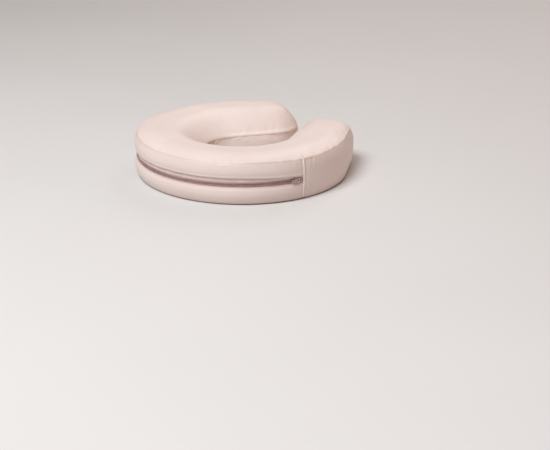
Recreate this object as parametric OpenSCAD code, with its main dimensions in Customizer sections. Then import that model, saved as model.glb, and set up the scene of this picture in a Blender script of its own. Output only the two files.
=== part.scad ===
// Face cradle cushion: a horseshoe pad of two foam layers in a sewn, zipped cover.
// Millimetres. +Z is up and +Y points out of the open mouth. The origin is the middle
// of the underside, on the face of the loop tapes that the cushion rests on.

/* [Cushion] */
// Overall width across the cheeks
cushion_w = 300; // [290:2:310]
// Height of the top seam on the outer wall
seam_h = 58.5; // [56:0.5:61]
// Rise of the crown above the outer top seam
crown_rise = 5.5; // [3:0.5:10]
// Distance from the outer wall over which the crown rises
crown_run = 30; // [20:1:40]
// Thickness of the cover material
cover_t = 1.2; // [0.8:0.1:1.6]

/* [Face hole] */
// Radius of the face hole
hole_r = 53; // [50:1:54]
// How far the hole's centre lies in front of the outer wall's centre
hole_shift = 4; // [0:1:5]
// Drop of the top seam from the outer wall to the face hole
dish_drop = 26.5; // [20:0.5:28]
// Distance from the hole's wall over which the surface rises to the crown
dish_run = 42; // [34:1:44]

/* [Tips] */
// Sideways distance of each rounded tip's centre from the middle
tip_x = 56; // [55:0.5:60]
// Distance of the tips' centres behind the outer wall's centre
tip_y = 102; // [98:1:106]
// Radius of the rounded tips
tip_r = 45; // [44:0.5:46]

/* [Zip] */
// Angle from the front to each upright outer seam
seam_angle = 80.8; // [79:0.2:84]
// Height of the line where the two coils meet
zip_h = 28.4; // [28:0.2:31]
// Height of the lower edge of the gap that shows the zip
gap_low = 23; // [22:0.2:24]
// Height of the upper edge of the gap that shows the zip
gap_high = 37.2; // [36:0.2:38]
// Angle from the front at which the slider is parked
park_angle = 76.8; // [70:0.2:76.8]
// Length of the pull tab beyond its axle
pull_len = 9; // [8:1:24]

/* [Layers] */
// Share of the pad's height taken by the firm foam
firm_share = 0.75; // [0.74:0.01:0.8]
// Width of the loop tape
loop_w = 25; // [20:1:30]
// Length of each loop tape strip
loop_len = 100; // [60:5:110]
// Thickness of the loop tape
loop_t = 1.2; // [0.8:0.1:1.8]

/* [Hidden] */
$fn = 180;

// Plan: the outer wall is an arc about O, the hole an arc about H, and each tip an arc about T.
// Straight runs that touch both arcs join them.
outer_r = cushion_w / 2;
length = outer_r + tip_y + tip_r;
arc_y = outer_r - length / 2;
O = [0, arc_y];
H = [0, arc_y - hole_shift];
T = [tip_x, arc_y + tip_y];
function dir(a) = [cos(a), sin(a)];
function angle_of(v) = atan2(v[1], v[0]);
// Direction square to the outer straight run, and the same for the one along the mouth
out_a = angle_of(T - O) - acos((outer_r - tip_r) / norm(T - O));
mouth_a = angle_of(T - H) + acos(-(hole_r + tip_r) / norm(T - H));

// Heights
base_z = loop_t;
wall_z = base_z + cover_t + 0.1;
wall_top = seam_h - cover_t - 0.1;
foam_gap = 0.2;
foam_in = cover_t + foam_gap;
foam_z = wall_z;
// The deepest inset that still leaves room on both sides of the ring's middle
mid_in = min((outer_r - hole_r - hole_shift) / 2, tip_r) - 0.5;

function smooth(s) = s * s * (3 - 2 * s);
function clamp01(s) = max(0, min(1, s));

// One side's half of the plan's edge moved in by d, from the front of the outer wall, round
// the tip, to the front of the hole. Each stretch gives its points and the share of the dish
// that its top seam takes: 0 along the outer wall, 1 along the hole.
front_n = 20;
side_n = 10;
run_n = 5;
tip_n = 22;
hole_n = 20;
fall_lead = 3; // points before the tip's arc at which the top seam begins to fall
fall_n = 14; // points over which it falls
function arc_pts(c, r, a0, a1, n) = [for (i = [0:n]) c + r * dir(a0 + (a1 - a0) * i / n)];
function run_pts(p, q, n) = [for (i = [1:n - 1]) p + (q - p) * i / n];
function but_first(list) = [for (i = [1:len(list) - 1]) list[i]];
function half_edge(d) =
    let (front = arc_pts(O, outer_r - d, -90, seam_angle - 90, front_n))
    let (side = arc_pts(O, outer_r - d, seam_angle - 90, out_a, side_n))
    let (tip = arc_pts(T, tip_r - d, out_a, mouth_a, tip_n))
    let (rear = arc_pts(H, hole_r + d, mouth_a - 180, 0, 4))
    let (hole = arc_pts(H, hole_r + d, 0, -90, hole_n))
    concat(front, but_first(side), run_pts(side[side_n], tip[0], run_n), tip,
        run_pts(tip[tip_n], rear[0], run_n), rear, but_first(hole));
half_n = len(half_edge(0));
edge_n = 2 * half_n - 2;
tip_i = front_n + side_n + run_n;
join_i = tip_i + tip_n + run_n + 4;
half_share = [for (i = [0:half_n - 1]) smooth(clamp01((i - tip_i + fall_lead) / fall_n))];
// The whole edge: the right half, then the left half backwards without the two shared points
function whole_edge(d) =
    let (h = half_edge(d))
    concat(h, [for (i = [half_n - 2:-1:1]) [-h[i][0], h[i][1]]]);
share = concat(half_share, [for (i = [half_n - 2:-1:1]) half_share[i]]);

// Height of the top surface at edge point i, moved in by d
crown_h = seam_h + crown_rise;
function edge_h(i) = seam_h - dish_drop * share[i];
function rise_run(i) = crown_run + (dish_run - crown_run) * share[i];
function top_z(i, d) =
    edge_h(i) + (crown_h - edge_h(i)) * (1 - pow(1 - clamp01(d / rise_run(i)), 2));

// A closed body made of rows of points, each row a loop of n points, the first and the last
// row closed across the ring
module rows_body(rows, low_faces, high_faces) {
    n = len(rows[0]);
    polyhedron(
        points = [for (row = rows) each row],
        faces = concat(
            [for (k = [0:len(rows) - 2]) for (i = [0:n - 1]) let (j = (i + 1) % n)
                for (f = [[k * n + i, (k + 1) * n + i, k * n + j],
                          [k * n + j, (k + 1) * n + i, (k + 1) * n + j]]) f],
            low_faces, high_faces
        ),
        convexity = 8
    );
}
// Faces that close the slot left along the middle of the ring. Point i on the outer side
// pairs with point half_n - 1 - i on the hole side, and the left half mirrors the right one.
function strip_faces(i, h, turned) =
    let (a = i, b = i + 1, c = h - 2 - i, d = h - 1 - i)
    b == c ? [turned ? [a, b, d] : [a, d, b]]
        : turned ? [[a, b, c], [a, c, d]] : [[a, c, b], [a, d, c]];
function middle_faces(first, turned) =
    let (h = half_n, pairs = floor((h - 1) / 2))
    let (left = function(i) i == 0 || i == h - 1 ? i : edge_n - i)
    concat(
        [for (i = [0:pairs - 1]) for (f = strip_faces(i, h, turned)) [for (v = f) first + v]],
        [for (i = [0:pairs - 1]) for (f = strip_faces(i, h, !turned))
            [for (v = f) first + left(v)]]
    );

insets = [2.2, 5, 9, 14, 20, 27, 35, mid_in];
function row(d, z) = let (e = whole_edge(d)) [for (i = [0:edge_n - 1]) [e[i][0], e[i][1], z(i, d)]];

// The plan moved in by d, with true arcs. The straight runs start and end a hair inside the
// arcs that they touch, so that each corner is a clean crossing.
hair = 0.02;
module plan(d) {
    difference() {
        union() {
            intersection() {
                translate(O) circle(outer_r - d);
                polygon([O, O + 2 * cushion_w * dir(out_a + 8), [2, -2] * cushion_w,
                    [-2, -2] * cushion_w, O + 2 * cushion_w * dir(172 - out_a)]);
            }
            for (side = [0, 1]) mirror([side, 0]) {
                translate(T) circle(tip_r - d);
                polygon([O, O + (outer_r - d - hair) * dir(out_a),
                    T + (tip_r - d - hair) * dir(out_a), T + 0.5 * tip_r * dir(mouth_a),
                    O + 0.5 * hole_r * dir(80)]);
            }
        }
        translate(H) circle(hole_r + d);
        for (side = [0, 1]) mirror([side, 0])
            polygon([H - [1, 1], H - (hole_r + d - hair) * dir(mouth_a),
                T + (tip_r - d + hair) * dir(mouth_a), [-1, T[1] + (tip_r - d) * dir(mouth_a)[1]]]);
    }
}

// A sector of a ring about O between two angles counted from the front
module ring(a0, a1, r0, r1, z0, z1) {
    ring_shape(a0, a1, [[r0, z0], [r1, z0], [r1, z1], [r0, z1]]);
}
module ring_shape(a0, a1, shape) {
    translate(O) rotate([0, 0, a0 - 90]) rotate_extrude(angle = a1 - a0) polygon(shape);
}
// Zip and its surroundings, as radii from O
fold_r = outer_r - 2 * cover_t - 0.1;
fold_h = 8;
fold_up = 5.4;
tape_t = 0.6;
tape_r = fold_r - 0.1;
tape_low = gap_low - 6.8;
tape_high = gap_high + fold_up;
coil_r = tape_r + 0.1;
coil_t = 1.1;
coil_h = 2;
slot = 0.9;
neck_slot = 1.2;
groove_r = outer_r - 5.4;
groove_low = gap_low - fold_h - 0.8;
zip_angle = seam_angle - 1.2;
slider_a = 1.72;
slider_h = 8;
plate_t = 0.9;
plate_r = coil_r + coil_t + 0.15;
under_r = tape_r - tape_t - 0.6;
axle_r = 0.5;
axle_at = plate_r + plate_t + 0.7;
pull_w = 5;
pull_t = 0.9;
arm_w = 1;
pull_lift = 3; // degrees by which the tab stands off the zip at rest

// The firm foam is a slab with a groove behind the zip, cut to the same contour as the top
groove_share = concat([for (i = [0:half_n - 1]) i <= front_n + 1 ? 1 : 0],
    [for (i = [half_n - 2:-1:1]) i <= front_n + 1 ? 1 : 0]);
function groove_in(i) = foam_in + (outer_r - groove_r - foam_in) * groove_share[i];
function firm_z(i, d) = firm_share * top_z(i, d) - foam_gap;
module foam_base() color([0.93, 0.88, 0.62]) {
    outer = whole_edge(foam_in);
    deep = whole_edge(outer_r - groove_r);
    wall = [for (i = [0:edge_n - 1]) outer[i] + (deep[i] - outer[i]) * groove_share[i]];
    inner = [for (d = insets) if (d > outer_r - groove_r + 1) d];
    rows = concat(
        [for (k = [len(inner) - 1:-1:0]) row(inner[k], function(i, d) foam_z)],
        [for (z = [foam_z, groove_low]) [for (p = outer) [p[0], p[1], z]]],
        [[for (p = wall) [p[0], p[1], groove_low + 0.5]]],
        [[for (i = [0:edge_n - 1]) [wall[i][0], wall[i][1], firm_z(i, groove_in(i))]]],
        [for (d = inner) row(d, function(i, d) firm_z(i, d))]
    );
    rows_body(rows, middle_faces(0, true), middle_faces((len(rows) - 1) * edge_n, false));
}
// A layer that follows the contour, as rows from its middle underneath round its edge to
// its middle on top
module contour_layer(edge_in, low, high) {
    inner = [for (d = insets) if (d > edge_in + 0.5) d];
    rows = concat(
        [for (k = [len(inner) - 1:-1:0]) row(inner[k], low)],
        [row(edge_in, low), row(edge_in, high)],
        [for (d = inner) row(d, high)]
    );
    rows_body(rows, middle_faces(0, true), middle_faces((len(rows) - 1) * edge_n, false));
}
module foam_top() color([0.95, 0.93, 0.86])
    contour_layer(foam_in, function(i, d) firm_share * top_z(i, d),
        function(i, d) top_z(i, d) - foam_in);
module cover_top_panel() color([0.90, 0.83, 0.77])
    contour_layer(0, function(i, d) top_z(i, d) - cover_t, function(i, d) top_z(i, d));
module cover_base_panel() color([0.80, 0.73, 0.67])
    translate([0, 0, base_z]) linear_extrude(cover_t) plan(2);

// The bands beside the zip are folded back on themselves along it
module outer_band_lower() color([0.88, 0.80, 0.74])
    ring_shape(-seam_angle, seam_angle, [
        [outer_r - cover_t, wall_z], [outer_r, wall_z], [outer_r, gap_low], [fold_r, gap_low],
        [fold_r, gap_low - fold_h], [fold_r + cover_t, gap_low - fold_h],
        [fold_r + cover_t, gap_low - cover_t], [outer_r - cover_t, gap_low - cover_t]
    ]);
module outer_band_upper() color([0.88, 0.80, 0.74])
    ring_shape(-seam_angle, seam_angle, [
        [outer_r - cover_t, wall_top], [outer_r, wall_top], [outer_r, gap_high],
        [fold_r, gap_high], [fold_r, gap_high + fold_up], [fold_r + cover_t, gap_high + fold_up],
        [fold_r + cover_t, gap_high + cover_t], [outer_r - cover_t, gap_high + cover_t]
    ]);

// The wall of each tip, from the upright outer seam round the tip to the join with the
// inner band, as a strip of four-sided sections
welt_a = 0.5;
module tip_wall() {
    outer = half_edge(0);
    inner = half_edge(cover_t);
    // The first section stands clear of the welt in the upright seam
    start = [for (r = [outer_r, outer_r - cover_t]) O + r * dir(seam_angle + welt_a - 90)];
    sections = [for (i = [front_n:join_i])
        let (p = i == front_n ? start[0] : outer[i])
        let (q = i == front_n ? start[1] : inner[i])
        let (z = edge_h(i) - cover_t - 0.1)
        [[p[0], p[1], wall_z], [p[0], p[1], z], [q[0], q[1], z], [q[0], q[1], wall_z]]];
    last = 4 * (len(sections) - 1);
    polyhedron(
        points = [for (c = sections) each c],
        faces = concat(
            [[3, 2, 1, 0], [last, last + 1, last + 2, last + 3]],
            [for (k = [0:4:last - 4]) for (i = [0:3]) let (j = (i + 1) % 4)
                for (f = [[k + i, k + j, k + 4 + i], [k + j, k + 4 + j, k + 4 + i]]) f]
        ),
        convexity = 6
    );
}
module tip_band_right() color([0.88, 0.80, 0.74]) tip_wall();
module tip_band_left() color([0.88, 0.80, 0.74]) mirror([1, 0, 0]) tip_wall();
module inner_band() color([0.86, 0.78, 0.72])
    translate([H[0], H[1], wall_z]) rotate([0, 0, 180.1])
        rotate_extrude(angle = 179.8) translate([hole_r, 0])
            square([cover_t, seam_h - dish_drop - cover_t - 0.1 - wall_z]);

// A rolled strip sewn into each upright outer seam
module welt() {
    ring(seam_angle + 0.05, seam_angle + welt_a - 0.05, outer_r - cover_t, outer_r,
        wall_z, wall_top);
}
module seam_welt_right() color([0.94, 0.88, 0.82]) welt();
module seam_welt_left() color([0.94, 0.88, 0.82]) mirror([1, 0, 0]) welt();

module zip_tape_upper() color([0.75, 0.63, 0.62])
    ring(-zip_angle, zip_angle, tape_r - tape_t, tape_r, zip_h + neck_slot / 2, tape_high);
module zip_tape_lower() color([0.75, 0.63, 0.62])
    ring(-zip_angle, zip_angle, tape_r - tape_t, tape_r, tape_low, zip_h - neck_slot / 2);
coil_end = zip_angle - 1;
module zip_coil_upper() color([0.45, 0.36, 0.35])
    ring(-coil_end, coil_end, coil_r, coil_r + coil_t, zip_h + slot / 2, zip_h + slot / 2 + coil_h);
module zip_coil_lower() color([0.45, 0.36, 0.35])
    ring(-coil_end, coil_end, coil_r, coil_r + coil_t, zip_h - slot / 2 - coil_h, zip_h - slot / 2);
module zip_stop() {
    ring(coil_end + 0.1, coil_end + 0.8, coil_r, plate_r + plate_t / 2, zip_h - 2.6, zip_h + 2.6);
}
module zip_stop_right() color([0.66, 0.62, 0.60]) zip_stop();
module zip_stop_left() color([0.66, 0.62, 0.60]) mirror([1, 0, 0]) zip_stop();

module zip_slider() color([0.70, 0.66, 0.64]) {
    a0 = park_angle - slider_a;
    a1 = park_angle + slider_a;
    half = slider_h / 2;
    flange_r = coil_r + 0.4;
    outer = plate_r + plate_t;
    ring(a0, a1, plate_r, outer, zip_h - half, zip_h + half);
    for (side = [-1, 1])
        translate([0, 0, zip_h + side * (half - 0.5)])
            ring(a0, a1, flange_r, plate_r + 0.1, -0.5, 0.5);
    ring(a0 + 0.4, a1 - 0.4, under_r - 0.1, plate_r + 0.1, zip_h - 0.3, zip_h + 0.3);
    ring(a0, a1, under_r - plate_t, under_r, zip_h - half, zip_h + half);
    // The bridge over the pull's axle
    ring_shape(park_angle - 1.1, park_angle + 1.1, [
        [axle_at + axle_r + 0.25, zip_h - 0.7], [axle_at + axle_r + 1.05, zip_h - 0.7],
        [axle_at + axle_r + 1.05, zip_h + 0.7], [axle_at + axle_r + 0.25, zip_h + 0.7]
    ]);
    for (a = [-1.1, 0.7])
        ring(park_angle + a, park_angle + a + 0.4, outer - 0.1, axle_at + axle_r + 0.3,
            zip_h - 0.7, zip_h + 0.7);
}

// The pull turns on its axle under the slider's bridge and lies along the zip at rest
module zip_pull() color([0.70, 0.66, 0.64])
    translate(O) rotate([0, 0, park_angle - 90]) translate([axle_at, 0, zip_h])
    rotate([0, 0, pull_lift]) {
        cylinder(r = axle_r, h = pull_w, center = true);
        for (side = [-1, 1])
            translate([-pull_t / 2, -5, side * (pull_w - arm_w) / 2 - arm_w / 2])
                cube([pull_t, 5, arm_w]);
        translate([-pull_t / 2, -4.2, 0]) rotate([90, 0, 90]) mirror([1, 0, 0])
            linear_extrude(pull_t) difference() {
                union() {
                    translate([0, -pull_w / 2]) square([pull_len - 4.2 - pull_w / 2, pull_w]);
                    translate([pull_len - 4.2 - pull_w / 2, 0]) circle(pull_w / 2);
                }
                translate([pull_len - 4.2 - pull_w / 2, 0]) circle(1.2);
            }
    }

// Loop tape sewn under the base, where the cradle's hook pads take hold
strip_at = (outer_r + hole_r) / 2 + 0.5;
module strip(at, turn) {
    translate([at[0], at[1]]) rotate(turn) translate([-loop_w / 2, -loop_len / 2])
        cube([loop_w, loop_len, loop_t - 0.05]);
}
module loop_strip_right() color([0.25, 0.23, 0.22]) strip([strip_at, arc_y], 0);
module loop_strip_left() color([0.25, 0.23, 0.22]) strip([-strip_at, arc_y], 0);
module loop_strip_front() color([0.25, 0.23, 0.22]) strip([0, arc_y - strip_at - 1.5], 90);

foam_base();
foam_top();
cover_top_panel();
cover_base_panel();
outer_band_upper();
outer_band_lower();
tip_band_right();
tip_band_left();
inner_band();
seam_welt_right();
seam_welt_left();
zip_tape_upper();
zip_tape_lower();
zip_coil_upper();
zip_coil_lower();
zip_stop_right();
zip_stop_left();
zip_slider();
zip_pull();
loop_strip_right();
loop_strip_left();
loop_strip_front();
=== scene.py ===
"""The looks of the face cradle cushion: two foam layers in a sewn leather cover, its zip and
its loop tapes. Metres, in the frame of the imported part: +Z up, +Y out of the open mouth."""

import math

import bpy
import numpy as np
from mathutils import Matrix, Vector


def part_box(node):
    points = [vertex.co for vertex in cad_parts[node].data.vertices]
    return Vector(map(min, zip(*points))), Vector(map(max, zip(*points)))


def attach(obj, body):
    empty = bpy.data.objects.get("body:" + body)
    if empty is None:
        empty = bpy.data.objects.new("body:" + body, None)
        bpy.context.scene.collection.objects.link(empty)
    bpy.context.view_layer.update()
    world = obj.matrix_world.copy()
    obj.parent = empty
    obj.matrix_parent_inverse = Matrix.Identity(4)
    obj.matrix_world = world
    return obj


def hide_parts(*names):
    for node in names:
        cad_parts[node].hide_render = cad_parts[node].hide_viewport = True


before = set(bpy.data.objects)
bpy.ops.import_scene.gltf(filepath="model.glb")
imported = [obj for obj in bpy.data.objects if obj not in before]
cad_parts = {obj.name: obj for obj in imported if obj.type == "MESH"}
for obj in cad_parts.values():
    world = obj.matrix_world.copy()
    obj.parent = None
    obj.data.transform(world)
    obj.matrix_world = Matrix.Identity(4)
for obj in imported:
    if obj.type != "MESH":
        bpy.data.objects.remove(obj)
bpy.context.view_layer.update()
MM = 0.001

# -------- sizes
top_low, top_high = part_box("cover_top_panel")
OUTER_R = (top_high.x - top_low.x) / 2
O = np.array([0, top_low.y + OUTER_R])  # centre of the outer wall
H = O - [0, 4 * MM]  # centre of the face hole
HOLE_R = 53 * MM
TIP_R = 45 * MM
T = np.array([56 * MM, top_high.y - TIP_R])  # centre of the right tip
MID_IN = 44.5 * MM
CROWN_H = top_high.z
SEAM_H = 58.5 * MM
DISH_DROP = 26.5 * MM
CROWN_RUN = 30 * MM
DISH_RUN = 42 * MM
SEAM_ANGLE = 80.8
ZIP_ANGLE = SEAM_ANGLE - 0.15
COIL_ANGLE = 78.6
PARK_ANGLE = 76.8
ZIP_H = 28.4 * MM
GAP_LOW = 24 * MM
GAP_HIGH = 37.2 * MM
GAP_NARROWS = 3.4 * MM  # how much lower the gap's upper edge lies at its ends
COVER_T = 1.1 * MM
BASE_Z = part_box("cover_base_panel")[0].z
FOOT_Z = BASE_Z + 0.3 * MM  # the seam between wall and base
FOOT_IN = 3.2 * MM  # how far that seam is drawn in
FOOT_RISE = 18 * MM  # height over which the wall comes out again
TIP_LEAN = 4.5 * MM  # how far the tips' walls lean in at the top seam
LEAN_RISE = 16 * MM  # height over which they do
TAPE_IN = 2.2 * MM  # the zip tape's face, behind the wall
FOLD_IN = 2.1 * MM  # how far the folded hem reaches behind the wall
FINE, COARSE = 1.25 * MM, 4.2 * MM  # spacing of points along the edge
FLARE = 0.7 * MM  # how far the upper band stands out over the zip
SEAM_PLACE, INNER_PLACE, HOLE_PLACE, LAST_PLACE = 20, 66, 86, 172  # see Outline
PLACE_LENGTH = 10.6 * MM  # length of edge from one place to the next near the upright seams


def direction(degrees):
    a = np.radians(degrees)
    return np.stack([np.cos(a), np.sin(a)], -1)


def angle_of(v):
    return math.degrees(math.atan2(v[1], v[0]))


# The angles at which the tip's round edge starts and ends.
OUT_A = angle_of(T - O) - math.degrees(math.acos((OUTER_R - TIP_R) / np.linalg.norm(T - O)))
MOUTH_A = angle_of(T - H) + math.degrees(math.acos(-(HOLE_R + TIP_R) / np.linalg.norm(T - H)))


# -------- the outline
class Outline:
    """The whole edge of the pad seen from above: the right half from the front of the outer
    wall round the tip to the front of the hole, then the left half back. Place counts along
    it: 0 at the front, 20 at the upright seam, 35 to 57 round the tip, 66 where the inner
    band starts, 86 at the front of the hole, and on to 172 round the left half."""

    def __init__(self, step):
        def arc(centre, radius, start, end, places, out=1):
            count = places * max(1, round(abs(math.radians(end - start)) * radius / places / step))
            way = direction(np.linspace(start, end, count + 1))
            return centre + radius * way, out * way, places

        def run(before, after, places):
            gap = np.linalg.norm(after[0][0] - before[0][-1])
            share = np.linspace(0, 1, places * max(1, round(gap / places / step)) + 1)[:, None]
            return (before[0][-1] + (after[0][0] - before[0][-1]) * share,
                    before[1][-1] + (after[1][0] - before[1][-1]) * share, places)

        front = arc(O, OUTER_R, -90, SEAM_ANGLE - 90, SEAM_PLACE)
        side = arc(O, OUTER_R, SEAM_ANGLE - 90, OUT_A, 10)
        tip = arc(T, TIP_R, OUT_A, MOUTH_A, 22)
        rear = arc(H, HOLE_R, MOUTH_A - 180, 0, 4, -1)
        hole = arc(H, HOLE_R, 0, -90, 20, -1)
        parts = [front, side, run(side, tip, 5), tip, run(tip, rear, 5), rear, hole]
        points, out, place, start = [], [], [], 0
        for p, n, places in parts:
            points.append(p[:-1])
            out.append(n[:-1])
            place.append(start + places * np.linspace(0, 1, len(p))[:-1])
            start += places
        points = np.concatenate([*points, hole[0][-1:]])
        out = np.concatenate([*out, hole[1][-1:]])
        place = np.concatenate([*place, [start]])
        self.half = len(points)
        turned = np.array([-1, 1])
        self.p = np.concatenate([points, points[-2:0:-1] * turned])
        self.n = np.concatenate([out, out[-2:0:-1] * turned])
        self.place = np.concatenate([place, 2 * start - place[-2:0:-1]])
        self.folded = np.minimum(self.place, 2 * start - self.place)
        self.count = len(self.p)
        steps = np.linalg.norm(np.roll(self.p, -1, 0) - self.p, axis=1)
        self.s = np.concatenate([[0], np.cumsum(steps)[:-1]])
        self.total = steps.sum()
        self.share = smooth((self.folded - 32) / 14)
        outer = smooth((53 - self.folded) / 12)
        self.lean = 0.1 + (0.4 + 0.5 * smooth((self.folded - 19) / 8)) * outer
        self.full = 2 + 0.6 * smooth((self.folded - 30) / 8) * smooth((64 - self.folded) / 12)
        by_seam = np.exp(-((self.folded - SEAM_PLACE) / 4) ** 2)
        settled = 0.8 * MM + 1.4 * MM * by_seam + 1.6 * MM * self.lean
        self.edge_h = SEAM_H - DISH_DROP * self.share - settled
        self.rise = CROWN_RUN + (DISH_RUN - CROWN_RUN) * self.share

    def cut(self, low, high):
        """The part whose place is from low to high, over the end if high < low."""
        after, before = self.place >= low - 1e-6, self.place <= high + 1e-6
        if low < high:
            return Part(self, np.flatnonzero(after & before))
        return Part(self, np.concatenate([np.flatnonzero(after), np.flatnonzero(before)]))

    def at(self, d, z):
        """Points moved in by d (out if d < 0) at height z. Both may differ from row to row and
        column to column."""
        d, z, _ = np.broadcast_arrays(d, z, self.p[:, 0])
        flat = self.p - self.n * d[..., None]
        return np.concatenate([flat, z[..., None]], -1)


class Part:
    """Some columns of an outline, read in the same way."""

    def __init__(self, whole, columns):
        for name in ("p", "n", "place", "folded", "s", "edge_h", "rise", "lean", "full"):
            setattr(self, name, getattr(whole, name)[columns])
        self.total, self.count = whole.total, len(columns)

    at = Outline.at


def smooth(x):
    x = np.clip(x, 0, 1)
    return x * x * (3 - 2 * x)


fine, coarse = Outline(FINE), Outline(COARSE)


def top_z(line, d):
    left = 1 - np.clip(d / line.rise, 0, 1)
    return line.edge_h + (CROWN_H - line.edge_h) * (1 - left**line.full)


def top_in(line, d):
    """How far in from the wall a point of the top lies that is d from the top seam."""
    lean = TIP_LEAN * line.lean
    return d + lean * (1 - np.clip(d / (20 * MM), 0, 1)) ** 2


def foot(line, z):
    """How far the wall is drawn in at height z, towards its seams with the base and the top."""
    outside = 1 - 0.7 * smooth((line.folded - 50) / 12)
    low = FOOT_IN * outside * (1 - np.clip((z - FOOT_Z) / FOOT_RISE, 0, 1)) ** 2.4
    return low + TIP_LEAN * line.lean * (1 - np.clip((line.edge_h - z) / LEAN_RISE, 0, 1)) ** 2.2


def step_of(steps, values):
    """The step that each value lies in, and its smoothed share of the way across it."""
    at = np.clip(np.searchsorted(steps, values, side="right") - 1, 0, len(steps) - 2)
    return at, smooth((values - steps[at]) / (steps[at + 1] - steps[at]))


def ripple(s, total, pitch, seed):
    """Uneven ups and downs from -1 to 1 along a closed seam, a pitch apart."""
    rng = np.random.default_rng(seed)
    count = 2 * max(2, round(total / pitch))
    knots = (np.arange(count) + rng.uniform(-0.22, 0.22, count)) * total / count
    heights = np.where(np.arange(count) % 2, 1, -1) * rng.uniform(0.15, 1, count)
    knots = np.concatenate([[knots[-1] - total], knots, [knots[0] + total]])
    heights = np.concatenate([[heights[-1]], heights, [heights[0]]])
    at, t = step_of(knots, s)
    return heights[at] + (heights[at + 1] - heights[at]) * t


def seam_pull(line):
    """How strongly the top seam puckers the leather along it: most by the upright seams."""
    welt = np.exp(-((line.folded - SEAM_PLACE) / 1.6) ** 2)
    hole = smooth((line.folded - 60) / 6)
    slow = 0.5 + 0.5 * ripple(line.s, line.total, 90 * MM, 5)
    return 0.16 + 0.14 * slow + 0.75 * welt + 0.22 * hole


# -------- mesh helpers
def add_mesh(name, points, faces, finish, body, slot, marks=None, sharp=40):
    """A mesh object that rides on a body. marks are extra values for each point, by name."""
    mesh = bpy.data.meshes.new(name)
    mesh.from_pydata(points.tolist(), [], faces)
    for mark, values in (marks or {}).items():
        kind = "FLOAT" if values.ndim == 1 else "FLOAT_VECTOR"
        attribute = mesh.attributes.new(mark, kind, "POINT")
        attribute.data.foreach_set("value" if kind == "FLOAT" else "vector", values.ravel())
    mesh.shade_smooth()
    mesh.set_sharp_from_angle(angle=math.radians(sharp))
    mesh.validate()
    piece = bpy.data.objects.new(name, mesh)
    bpy.context.scene.collection.objects.link(piece)
    mesh.materials.append(finish)
    if body:
        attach(piece, body)
    return piece


def rows_to_faces(rows, columns, wrap, first=0, turned=False):
    steps = columns if wrap else columns - 1
    k, i = np.meshgrid(np.arange(rows - 1) * columns, np.arange(steps), indexing="ij")
    j = (i + 1) % columns
    quads = np.stack([k + i, k + j, k + columns + j, k + columns + i], -1)
    quads = quads.reshape(-1, 4) + first
    return (quads[:, ::-1] if turned else quads).tolist()


def middle_faces(line, first, turned=False):
    """Faces across the middle of the ring, between a row's outer half and its hole half. Each
    side steps on from the front to the tip's middle, whichever is behind in place."""
    last, faces = line.half - 1, []
    for left in (False, True):
        def at(i):
            return first + (line.count - i if left and 0 < i < last else i)
        outer, hole = 0, last
        while hole - outer > 1:
            if line.place[outer + 1] <= line.place[last] - line.place[hole - 1]:
                face, outer = [at(outer), at(outer + 1), at(hole)], outer + 1
            else:
                face, hole = [at(outer), at(hole - 1), at(hole)], hole - 1
            faces.append(face[::-1] if left != turned else face)
    return faces


def normals_of(grid, wrap):
    if wrap:
        along = np.roll(grid, -1, 1) - np.roll(grid, 1, 1)
    else:
        along = np.gradient(grid, axis=1)
    n = np.cross(along, np.gradient(grid, axis=0))
    size = np.linalg.norm(n, axis=2, keepdims=True)
    return np.where(size > 1e-14, n / np.maximum(size, 1e-14), [0, 0, 1])


def shell(name, grid, finish, slot, thick, wrap=False, middle=None, marks=None, turned=False):
    """A sheet of the cushion, from rows of points on its outer face. middle is the outline
    whose last row is closed across the middle of the ring."""
    rows, columns = grid.shape[:2]
    sign = -1 if turned else 1
    back = grid - sign * thick * normals_of(grid, wrap)
    count = rows * columns
    faces = rows_to_faces(rows, columns, wrap, 0, turned)
    faces += rows_to_faces(rows, columns, wrap, count, not turned)
    if middle:
        faces += middle_faces(middle, (rows - 1) * columns, turned)
        faces += middle_faces(middle, count + (rows - 1) * columns, not turned)
    border = [list(range(columns))]
    if not middle:
        border.append([(rows - 1) * columns + i for i in range(columns)][::-1])
    if not wrap:
        border.append([k * columns for k in range(rows)][::-1])
        border.append([k * columns + columns - 1 for k in range(rows)])
    for loop in border:
        pairs = list(zip(loop, loop[1:]))
        if wrap:
            pairs.append((loop[-1], loop[0]))
        for a, b in pairs:
            face = [b, a, a + count, b + count]
            faces.append(face[::-1] if turned else face)
    points = np.concatenate([grid.reshape(-1, 3), back.reshape(-1, 3)])
    both = {}
    for mark, values in (marks or {}).items():
        both[mark] = np.concatenate([values.reshape(count, -1)] * 2).squeeze()
    return add_mesh(name, points, faces, finish, "cushion", slot, both)


def tubes(name, lines, ups, radius, finish, body, slot, sides=6, flat=1.0):
    """Round threads or wires, one for each line of points. ups point off them, one for each
    point or one for all, and flat squeezes them along up."""
    count, rings = lines.shape[:2]
    along = np.gradient(lines, axis=1)
    along /= np.linalg.norm(along, axis=2, keepdims=True)
    side = np.cross(along, ups)
    side /= np.linalg.norm(side, axis=2, keepdims=True)
    up = np.cross(side, along)
    turn = np.arange(sides) * 2 * math.pi / sides
    radius = np.broadcast_to(radius, (count, rings))[..., None, None]
    ring = lines[:, :, None] + radius * (
        np.cos(turn)[:, None] * side[:, :, None] + flat * np.sin(turn)[:, None] * up[:, :, None])
    faces = []
    one = rows_to_faces(rings, sides, True, 0, True)
    ends = [list(range(sides)), [(rings - 1) * sides + i for i in range(sides)][::-1]]
    for k in range(count):
        faces += [[v + k * rings * sides for v in f] for f in one + ends]
    return add_mesh(name, ring.reshape(-1, 3), faces, finish, body, slot)


DOWNWARD = [0, 0, -1.0]


def closed(path):
    return np.concatenate([path, path[:1]])


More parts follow.
